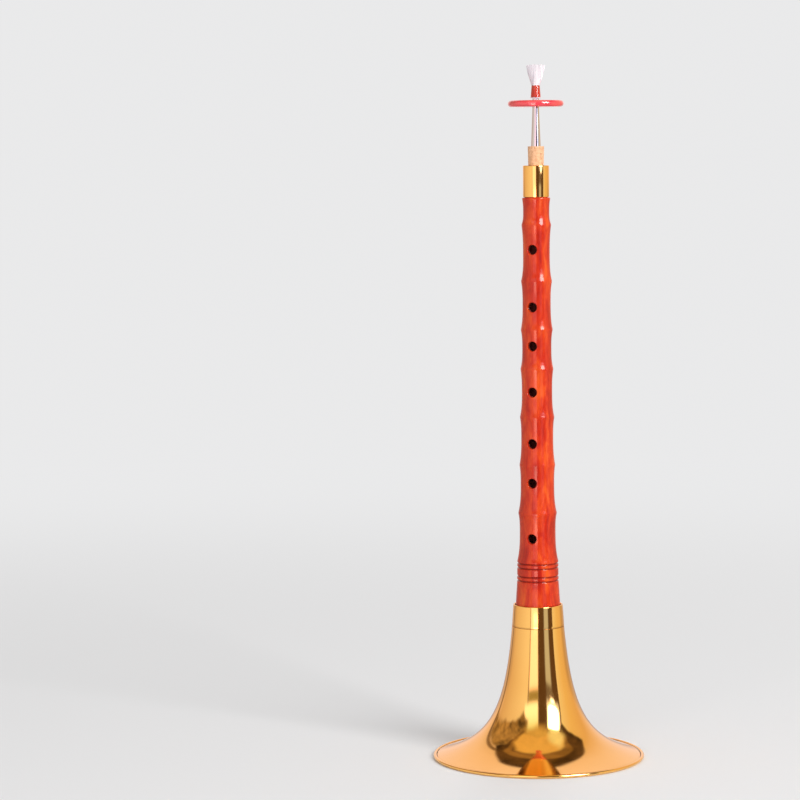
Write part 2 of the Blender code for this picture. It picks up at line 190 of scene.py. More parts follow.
def between(start, end, share):
    return start + (end - start) * share


def smooth_step(low, high, value):
    share = min(max((value - low) / (high - low), 0.0), 1.0)
    return share * share * (3 - 2 * share)


def arc(centre, radius, start, end, steps):
    """Points on an arc in the (radius, height) plane, angles in degrees."""
    points = []
    for step in range(steps + 1):
        angle = math.radians(between(start, end, step / steps))
        points.append((centre[0] + radius * math.cos(angle), centre[1] + radius * math.sin(angle)))
    return points


def finished(name, shape, sharp=38):
    """Make an object of a bmesh: faces outwards, smooth but for edges sharper than an angle."""
    bmesh.ops.recalc_face_normals(shape, faces=shape.faces)
    mesh = bpy.data.meshes.new(name)
    shape.to_mesh(mesh)
    shape.free()
    mesh.shade_smooth()
    mesh.set_sharp_from_angle(angle=math.radians(sharp))
    piece = bpy.data.objects.new(name, mesh)
    bpy.context.scene.collection.objects.link(piece)
    return piece


def bridge(shape, first, second):
    for side in range(len(first)):
        shape.faces.new((first[side - 1], first[side], second[side], second[side - 1]))


def turned(name, profile, sides):
    """A closed (radius, height) outline spun once round the Z axis, as an object."""
    shape = bmesh.new()
    rings = []
    for radius, height in profile:
        ring = []
        for side in range(sides):
            angle = math.tau * side / sides
            ring.append(shape.verts.new((radius * math.cos(angle), radius * math.sin(angle), height)))
        rings.append(ring)
    for index, ring in enumerate(rings):
        bridge(shape, rings[index - 1], ring)
    return finished(name, shape)


def fit(piece, finish, body, node):
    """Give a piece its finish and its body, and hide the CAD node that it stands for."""
    piece.data.materials.clear()
    piece.data.materials.append(finish)
    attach(piece, body)
    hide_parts(node)
    return piece


# Finishes

class Finish:
    """A material and short calls for the nodes that the finishes share."""

    def __init__(self, name, **constants):
        self.material = bpy.data.materials.new(name)
        self.material.use_nodes = True
        self.tree = self.material.node_tree
        self.shader = self.tree.nodes["Principled BSDF"]
        self.place = self.add("ShaderNodeTexCoord").outputs["Object"]
        for key, value in constants.items():
            self.shader.inputs[key.replace("_", " ")].default_value = value

    def add(self, kind, **settings):
        node = self.tree.nodes.new(kind)
        for key, value in settings.items():
            setattr(node, key, value)
        return node

    def feed(self, socket, value):
        if isinstance(value, (float, int)):
            socket.default_value = value
        elif isinstance(value, tuple):
            socket.default_value = value if len(value) == len(socket.default_value) else (*value, 1.0)
        else:
            self.tree.links.new(value, socket)

    def stretched(self, scale, place=None, turn=(0, 0, 0), move=(0, 0, 0)):
        mapping = self.add("ShaderNodeMapping")
        self.feed(mapping.inputs["Scale"], scale)
        self.feed(mapping.inputs["Rotation"], tuple(math.radians(angle) for angle in turn))
        self.feed(mapping.inputs["Location"], move)
        self.feed(mapping.inputs["Vector"], place or self.place)
        return mapping.outputs["Vector"]

    def noise(self, vector, scale=1.0, detail=3.0, roughness=0.5, distortion=0.0):
        noise = self.add("ShaderNodeTexNoise")
        values = {"Scale": scale, "Detail": detail, "Roughness": roughness, "Distortion": distortion}
        for key, value in values.items():
            self.feed(noise.inputs[key], value)
        self.feed(noise.inputs["Vector"], vector)
        return noise.outputs["Fac"]

    def ramp(self, value, *stops):
        ramp = self.add("ShaderNodeValToRGB")
        elements = ramp.color_ramp.elements
        while len(elements) < len(stops):
            elements.new(0.5)
        for element, (position, colour) in zip(elements, stops):
            element.position = position
            element.color = (*colour, 1.0)
        self.feed(ramp.inputs["Fac"], value)
        return ramp.outputs["Color"]

    def spread(self, value, low, high, from_low=0.0, from_high=1.0):
        spread = self.add("ShaderNodeMapRange")
        values = {"Value": value, "From Min": from_low, "From Max": from_high, "To Min": low, "To Max": high}
        for key, number in values.items():
            self.feed(spread.inputs[key], number)
        return spread.outputs["Result"]

    def mix(self, share, first, second, blend="MIX"):
        mix = self.add("ShaderNodeMix", data_type="RGBA", blend_type=blend)
        self.feed(mix.inputs[0], share)
        self.feed(mix.inputs[6], first)
        self.feed(mix.inputs[7], second)
        return mix.outputs[2]

    def math(self, operation, first, second):
        node = self.add("ShaderNodeMath", operation=operation)
        self.feed(node.inputs[0], first)
        self.feed(node.inputs[1], second)
        return node.outputs["Value"]

    def colour(self, value):
        self.feed(self.shader.inputs["Base Color"], value)

    def rough(self, value):
        self.feed(self.shader.inputs["Roughness"], value)

    def bump(self, height, distance, strength=1.0):
        bump = self.add("ShaderNodeBump")
        self.feed(bump.inputs["Strength"], strength)
        self.feed(bump.inputs["Distance"], distance)
        self.feed(bump.inputs["Height"], height)
        self.feed(self.shader.inputs["Normal"], bump.outputs["Normal"])


def lacquered_brass():
    """Polished golden brass: faint spinning lines round the axis, a slow drift of tone, few smudges."""
    f = Finish("lacquered_brass", Metallic=1.0)
    tone = f.noise(f.place, 28.0, detail=2.0)
    f.colour(f.ramp(tone, (0.30, (0.95, 0.555, 0.180)), (0.70, (0.985, 0.600, 0.210))))
    lines = f.noise(f.stretched((2.0, 2.0, 2600.0)), detail=2.0)
    smudge = f.noise(f.place, 55.0, detail=4.0, roughness=0.6)
    f.rough(f.math("ADD", f.spread(lines, 0.045, 0.095), f.spread(smudge, 0.0, 0.04, 0.45, 0.75)))
    f.bump(lines, 0.000001)
    return f.material


def rosewood():
    """Red-orange lacquer over rosewood: drawn-out clouds of tone, soft streaks, a faint figure, pores, and painted
    shade that darkens the turned grooves.
    """
    f = Finish("rosewood", Coat_Weight=0.6, Coat_Roughness=0.07, Coat_IOR=1.5, Specular_IOR_Level=0.05)
    cloud = f.noise(f.stretched((150.0, 150.0, 46.0), turn=(12.0, 8.0, 0.0)), detail=4.0, roughness=0.6,
                    distortion=0.4)
    body = f.ramp(cloud, (0.32, (0.42, 0.013, 0.006)), (0.45, (0.57, 0.024, 0.007)),
                  (0.57, (0.68, 0.050, 0.009)), (0.70, (0.79, 0.100, 0.014)))
    sway = f.noise(f.stretched((38.0, 38.0, 15.0)), detail=2.0)
    shift = f.add("ShaderNodeCombineXYZ")
    f.feed(shift.inputs["X"], f.spread(sway, -0.004, 0.004))
    f.feed(shift.inputs["Y"], f.spread(sway, 0.004, -0.004))
    swayed = f.add("ShaderNodeVectorMath", operation="ADD")
    f.feed(swayed.inputs[0], f.stretched((1.0, 1.0, 0.05), turn=(3.0, -2.0, 0.0), move=(-0.0165, 0.031, 0.0)))
    f.feed(swayed.inputs[1], shift.outputs["Vector"])
    rings = f.add("ShaderNodeTexWave", wave_type="RINGS", rings_direction="Z", wave_profile="SIN")
    for key, value in {"Scale": 150.0, "Distortion": 3.0, "Detail": 2.0, "Detail Scale": 1.0}.items():
        f.feed(rings.inputs[key], value)
    f.feed(rings.inputs["Vector"], swayed.outputs["Vector"])
    figure = f.ramp(rings.outputs["Fac"], (0.0, (0.88, 0.70, 0.72)), (0.5, (1.0, 1.0, 1.0)))
    presence = f.spread(f.noise(f.place, 60.0, detail=2.0), 0.0, 0.75, 0.42, 0.66)
    figured = f.mix(presence, body, f.mix(1.0, body, figure, "MULTIPLY"))
    streak = f.noise(f.stretched((520.0, 520.0, 44.0), turn=(5.0, 3.0, 0.0)), detail=4.0, roughness=0.65)
    streaks = f.ramp(streak, (0.34, (0.88, 0.68, 0.68)), (0.48, (0.99, 0.95, 0.95)), (0.66, (1.0, 1.16, 1.06)))
    toned = f.mix(0.75, figured, streaks, "MULTIPLY")
    fibre = f.noise(f.stretched((1500.0, 1500.0, 60.0), turn=(3.0, 0.0, 0.0)), detail=3.0)
    pores = f.ramp(fibre, (0.28, (0.76, 0.60, 0.60)), (0.42, (1.0, 1.0, 1.0)))
    toned = f.mix(0.6, toned, pores, "MULTIPLY")
    # Painted shade: the lacquer in the turned grooves is darkened here to stand for the shade that falls in them.
    groove_shade = f.add("ShaderNodeAttribute", attribute_name="groove_shade").outputs["Fac"]
    f.colour(f.mix(groove_shade, toned, (0.18, 0.007, 0.006)))
    f.rough(f.spread(fibre, 0.32, 0.48))
    f.bump(fibre, 0.00002, 0.2)
    return f.material


def bare_bore():
    """The unlacquered, darkened wood inside the bore and deep in the finger holes."""
    f = Finish("bare_bore")
    fibre = f.noise(f.stretched((700.0, 700.0, 60.0)), detail=4.0)
    f.colour(f.ramp(fibre, (0.25, (0.16, 0.024, 0.020)), (0.75, (0.32, 0.056, 0.044))))
    f.rough(f.spread(fibre, 0.55, 0.8))
    return f.material


def cork():
    """Pale tan cork with darker cells and small pits."""
    f = Finish("cork", Specular_IOR_Level=0.25)
    mottle = f.noise(f.place, 620.0, detail=4.0, roughness=0.65)
    base = f.ramp(mottle, (0.30, (0.60, 0.30, 0.15)), (0.50, (0.80, 0.45, 0.25)), (0.75, (0.90, 0.56, 0.34)))
    pits = f.noise(f.stretched((1.0, 1.0, 0.7)), 900.0, detail=1.0)
    pit_shade = f.ramp(pits, (0.27, (0.36, 0.16, 0.09)), (0.33, (1.0, 1.0, 1.0)))
    f.colour(f.mix(0.9, base, pit_shade, "MULTIPLY"))
    f.rough(f.spread(mottle, 0.70, 0.92))
    f.bump(f.math("ADD", mottle, f.spread(pits, -1.5, 0.0, 0.25, 0.36)), 0.00008, 0.6)
    return f.material


def plated_silver():
    """Drawn nickel silver with faint lines along the tube."""
    f = Finish("plated_silver", Metallic=1.0)
    drawn = f.noise(f.stretched((900.0, 900.0, 12.0)), detail=3.0)
    f.colour(f.ramp(drawn, (0.3, (0.58, 0.56, 0.63)), (0.7, (0.70, 0.67, 0.76))))
    f.rough(f.spread(drawn, 0.03, 0.08))
    f.bump(drawn, 0.000003, 0.5)
    return f.material


def disc_plastic():
    """Glossy red plastic, slightly clouded, with a soft unevenness from the mould."""
    f = Finish("disc_plastic", Coat_Weight=1.0, Coat_Roughness=0.05, Coat_IOR=1.7,
               Specular_IOR_Level=0.2)
    drift = f.noise(f.place, 160.0, detail=2.0)
    f.colour(f.ramp(drift, (0.3, (0.76, 0.044, 0.066)), (0.7, (0.92, 0.070, 0.095))))
    f.rough(f.spread(f.noise(f.place, 900.0, detail=2.0), 0.16, 0.26))
    f.bump(f.noise(f.place, 220.0, detail=1.0), 0.00003, 0.3)
    return f.material


def binding_lacquer():
    """Fine red thread wound close and sunk in lacquer."""
    f = Finish("binding_lacquer", Coat_Weight=1.0, Coat_Roughness=0.05, Coat_IOR=1.7, Specular_IOR_Level=0.2)
    ply = f.noise(f.stretched((1400.0, 1400.0, 3200.0)), detail=2.0)
    f.colour(f.ramp(ply, (0.3, (0.42, 0.010, 0.004)), (0.7, (0.62, 0.026, 0.008))))
    f.rough(f.spread(ply, 0.22, 0.38))
    f.bump(ply, 0.000008, 0.3)
    return f.material


def pale_cane():
    """Bleached reed: pale, slightly lilac, with fibres that run up the blades."""
    f = Finish("pale_cane", Specular_IOR_Level=0.3)
    fibre = f.noise(f.stretched((1500.0, 500.0, 45.0)), detail=2.0)
    f.colour(f.ramp(fibre, (0.30, (0.46, 0.40, 0.47)), (0.48, (0.74, 0.69, 0.74)), (0.70, (0.88, 0.84, 0.87))))
    f.rough(f.spread(fibre, 0.42, 0.60))
    f.bump(fibre, 0.00002, 0.3)
    return f.material


def steel_wire():
    """Drawn steel, a little dull."""
    f = Finish("steel_wire", Metallic=1.0)
    drawn = f.noise(f.place, 1200.0, detail=3.0)
    f.colour(f.ramp(drawn, (0.3, (0.42, 0.41, 0.40)), (0.7, (0.60, 0.59, 0.57))))
    f.rough(f.spread(drawn, 0.3, 0.5))
    return f.material


# Shapes that a rule makes, as Geometry Nodes

class Rule:
    """A Geometry Nodes tree with named inputs, and short calls for its nodes."""

    def __init__(self, name, **inputs):
        self.tree = bpy.data.node_groups.new(name, "GeometryNodeTree")
        self.sockets = {}
        self.tree.interface.new_socket("Geometry", in_out="INPUT", socket_type="NodeSocketGeometry")
        self.tree.interface.new_socket("Geometry", in_out="OUTPUT", socket_type="NodeSocketGeometry")
        self.values = inputs
        for key, value in inputs.items():
            kind = {int: "NodeSocketInt", float: "NodeSocketFloat"}.get(type(value), "NodeSocketMaterial")
            socket = self.tree.interface.new_socket(key.replace("_", " "), in_out="INPUT", socket_type=kind)
            self.sockets[key] = socket.identifier
        self.given = self.tree.nodes.new("NodeGroupInput")

    def value(self, key):
        return self.given.outputs[key.replace("_", " ")]

    def add(self, kind, inputs=None, **settings):
        node = self.tree.nodes.new(kind)
        for key, value in settings.items():
            setattr(node, key, value)
        for key, value in (inputs or {}).items():
            self.feed(node.inputs[key], value)
        return node

    def feed(self, socket, value):
        if isinstance(value, bpy.types.NodeSocket):
            self.tree.links.new(value, socket)
        else:
            socket.default_value = value

    def math(self, operation, first, second=0.0, clamp=False):
        node = self.add("ShaderNodeMath", {0: first, 1: second}, operation=operation, use_clamp=clamp)
        return node.outputs[0]

    def between(self, start, end, share):
        return self.math("ADD", start, self.math("MULTIPLY", self.math("SUBTRACT", end, start), share))

    def make(self, name, geometry, mesh=None, thickness=None):
        """End the tree in Realize Instances and Set Material, run it and keep the plain mesh."""
        real = self.add("GeometryNodeRealizeInstances", {"Geometry": geometry})
        painted = self.add("GeometryNodeSetMaterial",
                           {"Geometry": real.outputs["Geometry"], "Material": self.value("Finish")})
        out = self.tree.nodes.new("NodeGroupOutput")
        self.feed(out.inputs["Geometry"], painted.outputs["Geometry"])
        piece = bpy.data.objects.new(name, mesh or bpy.data.meshes.new(name))
        bpy.context.scene.collection.objects.link(piece)
        rule = piece.modifiers.new("rule", "NODES")
        rule.node_group = self.tree
        for key, value in self.values.items():
            rule[self.sockets[key]] = value
        if thickness:
            wall = piece.modifiers.new("wall", "SOLIDIFY")
            wall.thickness = thickness
            wall.offset = -1.0
            wall.use_even_offset = True
        graph = bpy.context.evaluated_depsgraph_get()
        result = bpy.data.meshes.new_from_object(piece.evaluated_get(graph))
        piece.modifiers.clear()
        shape = bmesh.new()
        shape.from_mesh(result)
        bpy.data.objects.remove(piece)
        bpy.data.meshes.remove(result)
        return finished(name, shape)


def horn_rule(finish):
    """Sheet that follows the horn curve from neck to rim and then rolls round the rim's wire."""
    rule = Rule("horn_rule", Height=BELL_TOP - SEAM_ROUND, Neck_Radius=NECK_RADIUS, Offset=FLARE_OFFSET,
                Power=FLARE_POWER, Flare_End_Radius=RIM_RADIUS - HEM_WIDTH, Flare_End_Height=FLARE_END_HEIGHT,
                Hem_Radius=HEM_ROLL - SHEET - 0.00001, Hem_Centre_Radius=RIM_RADIUS - HEM_ROLL,
                Hem_Centre_Height=HEM_ROLL, Hem_Share=0.3, Steps=BELL_STEPS, Sides=BELL_SIDES + 1,
                Finish=finish)
    grid = rule.add("GeometryNodeMeshGrid", {"Size X": 1.0, "Size Y": 1.0, "Vertices X": rule.value("Steps"),
                                             "Vertices Y": rule.value("Sides")})
    where = rule.add("ShaderNodeSeparateXYZ", {0: rule.add("GeometryNodeInputPosition").outputs[0]})
    along = rule.math("ADD", where.outputs["X"], 0.5)
    turn = rule.math("MULTIPLY", rule.math("ADD", where.outputs["Y"], 0.5), math.tau)
    flare_share = rule.math("SUBTRACT", 1.0, rule.value("Hem_Share"))
    to_rim = rule.math("DIVIDE", along, flare_share, clamp=True)
    height = rule.between(rule.value("Flare_End_Height"), rule.value("Height"),
                          rule.math("POWER", rule.math("SUBTRACT", 1.0, to_rim), 1.7))
    fall = rule.math("MULTIPLY", rule.value("Power"), -1.0)

    def bend(level):
        return rule.math("POWER", rule.math("ADD", level, rule.value("Offset")), fall)

    top_bend = bend(rule.value("Height"))
    opened = rule.math("DIVIDE", rule.math("SUBTRACT", bend(height), top_bend),
                       rule.math("SUBTRACT", bend(rule.value("Flare_End_Height")), top_bend))
    radius = rule.between(rule.value("Neck_Radius"), rule.value("Flare_End_Radius"), opened)
    rolled = rule.math("DIVIDE", rule.math("SUBTRACT", along, flare_share), rule.value("Hem_Share"), clamp=True)
    angle = rule.between(math.radians(HEM_START_ANGLE), math.radians(HEM_END_ANGLE), rolled)
    hem_radius = rule.math("ADD", rule.value("Hem_Centre_Radius"),
                           rule.math("MULTIPLY", rule.value("Hem_Radius"), rule.math("COSINE", angle)))
    hem_height = rule.math("ADD", rule.value("Hem_Centre_Height"),
                           rule.math("MULTIPLY", rule.value("Hem_Radius"), rule.math("SINE", angle)))
    on_hem = rule.math("GREATER_THAN", along, flare_share)
    out = rule.between(radius, hem_radius, on_hem)
    place = rule.add("ShaderNodeCombineXYZ", {"X": rule.math("MULTIPLY", out, rule.math("COSINE", turn)),
                                              "Y": rule.math("MULTIPLY", out, rule.math("SINE", turn)),
                                              "Z": rule.between(height, hem_height, on_hem)})
    bent = rule.add("GeometryNodeSetPosition", {"Geometry": grid.outputs["Mesh"],
                                                "Position": place.outputs["Vector"]})
    closed = rule.add("GeometryNodeMergeByDistance", {"Geometry": bent.outputs["Geometry"],
                                                      "Distance": 0.000001})
    return rule.make("spun_bell", closed.outputs["Geometry"], thickness=SHEET)


def winding_rule(finish, core):
    """Thread wound in close turns up a slightly conical core."""
    low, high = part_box("reed_binding")
    rule = Rule("winding_rule", Turns=float(BINDING_TURNS), Foot_Radius=BINDING_FOOT_RADIUS - THREAD_RADIUS,
                Top_Radius=BINDING_TOP_RADIUS - THREAD_RADIUS, Thread_Radius=THREAD_RADIUS,
                Rise=high.z - low.z - 2 * THREAD_RADIUS, Start=low.z + THREAD_RADIUS, Finish=finish)
    spiral = rule.add("GeometryNodeCurveSpiral", {
        "Resolution": 48, "Rotations": rule.value("Turns"), "Start Radius": rule.value("Foot_Radius"),
        "End Radius": rule.value("Top_Radius"), "Height": rule.value("Rise")})
    section = rule.add("GeometryNodeCurvePrimitiveCircle", {"Resolution": 12, "Radius": rule.value("Thread_Radius")})
    thread = rule.add("GeometryNodeCurveToMesh", {"Curve": spiral.outputs["Curve"],
                                                  "Profile Curve": section.outputs["Curve"], "Fill Caps": True})
    lift = rule.add("ShaderNodeCombineXYZ", {"Z": rule.value("Start")})
    raised = rule.add("GeometryNodeTransform", {"Geometry": thread.outputs["Mesh"],
                                                "Translation": lift.outputs["Vector"]})
    joined = rule.add("GeometryNodeJoinGeometry")
    rule.feed(joined.inputs["Geometry"], rule.given.outputs["Geometry"])
    rule.feed(joined.inputs["Geometry"], raised.outputs["Geometry"])
    return rule.make("reed_winding", joined.outputs["Geometry"], mesh=core)


# Bell and collar

def make_bell(brass):
    fit(horn_rule(brass), brass, "bell", "bell")


def make_collar(brass):
    """Conical ring with a rounded lip, whose foot meets the bell in a fine rounded seam."""
    edge = COLLAR_LIP_ROUND
    seam = SEAM_ROUND
    foot = BELL_TOP
    profile = [(COLLAR_BORE, COLLAR_FOOT)]
    profile += arc((COLLAR_BORE + edge, COLLAR_TOP - edge), edge, 180, 90, 5)
    profile += arc((COLLAR_TOP_RADIUS - edge, COLLAR_TOP - edge), edge, 90, 0, 5)
    profile += [(between(COLLAR_TOP_RADIUS, NECK_RADIUS, share), between(COLLAR_TOP, foot, share))
                for share in (0.3, 0.6, 0.9)]
    profile += arc((NECK_RADIUS - seam, foot + seam), seam, 0, -90, 4)
    profile += [(COLLAR_SKIRT_RADIUS, foot), (COLLAR_SKIRT_RADIUS, COLLAR_FOOT)]
    fit(turned("collar", profile, BELL_SIDES), brass, "bell", "bell_collar")


# Stem

def scallop_rows():
    """Top height, length, upper and lower diameter, depth and valley place of each scallop."""
    rows = []
    top = COLLAR_TOP + STEM_LENGTH
    upper = STEM_TOP_DIAMETER
    for length, lower, depth, share in zip(SCALLOP_LENGTHS, RIDGE_DIAMETERS, VALLEY_DEPTHS, VALLEY_PLACES):
        rows.append((top, length, upper, lower, depth, share))
        top -= length
        upper = lower
    return rows


def groove_share(height):
    """How deep in one of the four turned grooves a height lies, from 0 to 1."""
    drop = COLLAR_TOP + FOOT_CONE_LENGTH + GROOVE_BAND_LENGTH - height
    nearest = min(abs(drop - centre) for centre in GROOVE_DROPS) / (GROOVE_WIDTH / 2)
    return 0.0 if nearest >= 1 else (1 + math.cos(math.pi * nearest)) / 2


def stem_radius(height):
    """Outer radius of the wood at a height, with sharp ridges and level valleys."""
    for top, length, upper, lower, depth, share in scallop_rows():
        if height > top - length:
            valley = top - length * share
            floor = between(upper, lower, share) / 2 - depth
            if height > valley:
                return between(floor, upper / 2, ((height - valley) / (top - valley)) ** UPPER_SLOPE_POWER)
            below = (valley - height) / (valley - top + length)
            return between(floor, lower / 2, below ** LOWER_SLOPE_POWER)
    drop = COLLAR_TOP + FOOT_CONE_LENGTH + GROOVE_BAND_LENGTH - height
    if drop > GROOVE_BAND_LENGTH:
        share = min((drop - GROOVE_BAND_LENGTH) / FOOT_CONE_LENGTH, 1.0)
        return between(GROOVE_BAND_END_DIAMETER, STEM_FOOT_DIAMETER, share) / 2
    band = between(RIDGE_DIAMETERS[-1], GROOVE_BAND_END_DIAMETER, drop / GROOVE_BAND_LENGTH) / 2
    return band - GROOVE_DEPTH * groove_share(height)


def soft_stem_radius(height):
    """The same radius, its ridges rounded as lacquer rounds them."""
    top = COLLAR_TOP + STEM_LENGTH
    band_top = COLLAR_TOP + FOOT_CONE_LENGTH + GROOVE_BAND_LENGTH
    reach = RIDGE_SOFTNESS / 2 if height > band_top + RIDGE_SOFTNESS else 0.0001
    samples = [stem_radius(min(height + reach * step / 3, top)) for step in range(-3, 4)]
    return sum(samples) / len(samples)


def stem_heights():
    """Levels of the stem's outline: close together at the ridges and grooves, wider elsewhere."""
    ridges = [row[0] for row in scallop_rows()] + [COLLAR_TOP + FOOT_CONE_LENGTH + GROOVE_BAND_LENGTH]
    height = COLLAR_TOP + STEM_LENGTH - STEM_SHOULDER_ROUND
    heights = []
    while height > COLLAR_TOP + 0.0004:
        heights.append(height)
        to_ridge = min(abs(height - ridge) for ridge in ridges)
        if height < ridges[-1]:
            height -= 0.00014 if height > COLLAR_TOP + FOOT_CONE_LENGTH else 0.0018
        else:
            height -= between(0.00016, 0.0012, min(to_ridge / 0.004, 1.0))
    return heights


def stem_profile():
    top = COLLAR_TOP + STEM_LENGTH
    edge = STEM_SHOULDER_ROUND
    radius = soft_stem_radius(top - edge)
    profile = [(UPPER_TENON_RADIUS, STEM_TOP), (UPPER_TENON_RADIUS, top)]
    profile += arc((radius - edge, top - edge), edge, 90, 12, 5)
    profile += [(soft_stem_radius(height), height) for height in stem_heights()]
    shoulder = COLLAR_TOP - LOWER_TENON_SHOULDER
    profile += [
        (STEM_FOOT_DIAMETER / 2, COLLAR_TOP),
        (STEM_FOOT_DIAMETER / 2 - 0.0003, shoulder),
        (LOWER_TENON_RADIUS, shoulder),
        (LOWER_TENON_RADIUS, STEM_FOOT + 0.0003),
        (LOWER_TENON_RADIUS - 0.0003, STEM_FOOT),
    ]
    for share in (0.0, 0.2, 0.4, 0.6, 0.8, 1.0):
        profile.append((between(BORE_FOOT_RADIUS, SOCKET_FLOOR_RADIUS, share),
                        between(STEM_FOOT, SOCKET_FLOOR, share)))
    profile += [(CORK_FOOT_RADIUS + 0.0002, SOCKET_FLOOR), (CORK_TOP_RADIUS - 0.0002, STEM_TOP)]
    return profile


def finger_hole_heights():
    return [row[0] - row[1] * share for row, share in zip(scallop_rows()[1:], FINGER_HOLE_PLACES)]


def add_drill(shape, height, facing):
    """A drill along Y that widens where it leaves the wood, so that the hole's edge is eased."""
    ease = HOLE_EASING
    steps = [(0.0, None), (0.0, -LACQUER_REACH), (0.0, -LACQUER_REACH / 2)]
    steps += [(ease * (1 - math.cos(math.radians(angle))), ease * (math.sin(math.radians(angle)) - 1))
              for angle in (0, 25, 50, 72)]
    steps.append((ease, 0.0020))
    rings = []
    for widening, depth in steps:
        ring = []
        for side in range(HOLE_SIDES):
            angle = math.tau * side / HOLE_SIDES
            across = (HOLE_RADIUS + widening) * math.cos(angle)
            level = height + (HOLE_RADIUS + widening) * math.sin(angle)
            surface = math.sqrt(soft_stem_radius(level) ** 2 - across ** 2)
            out = 0.0 if depth is None else surface + depth
            ring.append(shape.verts.new((across, facing * out, level)))
        rings.append(ring)
    for lower, upper in zip(rings, rings[1:]):
        bridge(shape, lower, upper)
    shape.faces.new(rings[0])
    shape.faces.new(rings[-1])


def drill_holes(stem):
    """Cut seven finger holes in front and the thumb hole behind, and keep the result as a plain mesh."""
    shape = bmesh.new()
    for height in finger_hole_heights():
        add_drill(shape, height, -1)
    add_drill(shape, COLLAR_TOP + STEM_LENGTH - sum(SCALLOP_LENGTHS[:2]) + THUMB_HOLE_RISE, 1)
    drills = finished("finger_hole_drills", shape)
    cut = stem.modifiers.new("finger_holes", "BOOLEAN")
    cut.object = drills
    cut.solver = "EXACT"
    graph = bpy.context.evaluated_depsgraph_get()
    stem.data = bpy.data.meshes.new_from_object(stem.evaluated_get(graph))
    stem.modifiers.clear()
    bpy.data.objects.remove(drills)


def make_stem(wood, bare):
    stem = turned("stem_wood", stem_profile(), STEM_SIDES)
    drill_holes(stem)
    fit(stem, wood, "stem", "stem")
    mesh = stem.data
    mesh.materials.append(bare)
    for face in mesh.polygons:
        level = min(max(face.center.z, COLLAR_TOP), COLLAR_TOP + STEM_LENGTH)
        depth = soft_stem_radius(level) - math.hypot(face.center.x, face.center.y)
        face.material_index = 1 if depth > LACQUER_REACH else 0
    # Painted shade for the grooves: a value on each vertex that darkens the lacquer in the turned grooves.
    groove_shade = mesh.attributes.new("groove_shade", "FLOAT", "POINT")
    for vertex in mesh.vertices:
        groove_shade.data[vertex.index].value = 0.85 * groove_share(vertex.co.z)
    mesh.shade_smooth()
    mesh.set_sharp_from_angle(angle=math.radians(38))


def make_tenon_cork(bark):
    low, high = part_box("tenon_cork")
    edge = 0.0004
    profile = [(TENON_CORK_INNER_RADIUS, low.z), (TENON_CORK_INNER_RADIUS, high.z)]
    profile += arc((TENON_CORK_RADIUS - edge, high.z - edge), edge, 90, 0, 4)
    profile += arc((TENON_CORK_RADIUS - edge, low.z + edge), edge, 0, -90, 4)
    fit(turned("tenon_cork_band", profile, STEM_SIDES), bark, "stem", "tenon_cork")


def make_ferrule(brass):
    """Thin cap with a rounded top edge and a hole that the cork goes through."""
    inner = FERRULE_RADIUS - FERRULE_WALL
    hole = CORK_TOP_RADIUS - 0.00006
    foot_round = 0.0002
    profile = [(inner, FERRULE_FOOT)]
    profile += arc((FERRULE_RADIUS - foot_round, FERRULE_FOOT + foot_round), foot_round, -90, 0, 4)
    profile += arc((FERRULE_RADIUS - FERRULE_EDGE, FERRULE_TOP - FERRULE_EDGE), FERRULE_EDGE, 0, 90, 8)
    profile += arc((hole + 0.0002, FERRULE_TOP - 0.0002), 0.0002, 90, 180, 4)
    profile += [(hole, FERRULE_TOP - FERRULE_WALL), (inner, FERRULE_TOP - FERRULE_WALL)]
    fit(turned("ferrule", profile, STEM_SIDES), brass, "stem", "top_ferrule")


# Staple, its cork and the lip disc

def staple_radius(height):
    levels = (
        (STAPLE_TIP, STAPLE_TIP_RADIUS),
        (STAPLE_TIP - STAPLE_NECK_DROP, STAPLE_NECK_RADIUS),
        (CORK_TOP, STAPLE_WAIST_RADIUS),
        (STAPLE_FOOT, STAPLE_FOOT_RADIUS),
    )
    for (upper, upper_radius), (lower, lower_radius) in zip(levels, levels[1:]):
        if height >= lower:
            return between(lower_radius, upper_radius, (height - lower) / (upper - lower))
    return STAPLE_FOOT_RADIUS


def soft_staple_radius(height):
    samples = [staple_radius(min(max(height + 0.0012 * step, STAPLE_FOOT), STAPLE_TIP)) for step in range(-3, 4)]
    return sum(samples) / len(samples)


def make_staple(silver):
    steps = 60
    heights = [between(STAPLE_TIP, STAPLE_FOOT, step / steps) for step in range(steps + 1)]
    outside = [(soft_staple_radius(height), height) for height in heights]
    inside = [(radius - STAPLE_WALL, height) for radius, height in outside]
    tube = turned("staple_tube", outside + inside[::-1], SMALL_SIDES)
    fit(tube, silver, "staple", "staple")


def make_staple_cork(bark):
    edge = 0.00025
    profile = [(soft_staple_radius(CORK_TOP) + 0.00003, CORK_TOP)]
    profile += arc((CORK_TOP_RADIUS - edge, CORK_TOP - edge), edge, 90, 0, 4)
    profile += [(CORK_FOOT_RADIUS, STAPLE_FOOT), (soft_staple_radius(STAPLE_FOOT) + 0.00003, STAPLE_FOOT)]
    fit(turned("cork_plug", profile, SMALL_SIDES), bark, "staple", "staple_cork")


def make_lip_disc(plastic):
    """A thick disc with a fully round edge and faces dished a little round the staple."""
    half = (DISC_HIGH - DISC_LOW) / 2
    middle = (DISC_HIGH + DISC_LOW) / 2
    hole = soft_staple_radius(DISC_LOW) + 0.00012
    rim = DISC_RADIUS - half
    steps = 12
    face = []
    for step in range(steps + 1):
        share = step / steps
        face.append((between(hole + 0.0002, rim, share), half - DISC_DISH * (1 - share ** 2)))
    profile = [(hole, middle - half + DISC_DISH + 0.0002)]
    profile += [(radius, middle - level) for radius, level in face]
    profile += arc((rim, middle), half, -84, 84, 20)
    profile += [(radius, middle + level) for radius, level in face[::-1]]
    profile += [(hole, middle + half - DISC_DISH - 0.0002)]
    fit(turned("lip_plate", profile, BELL_SIDES), plastic, "lip_disc", "lip_disc")


# Reed

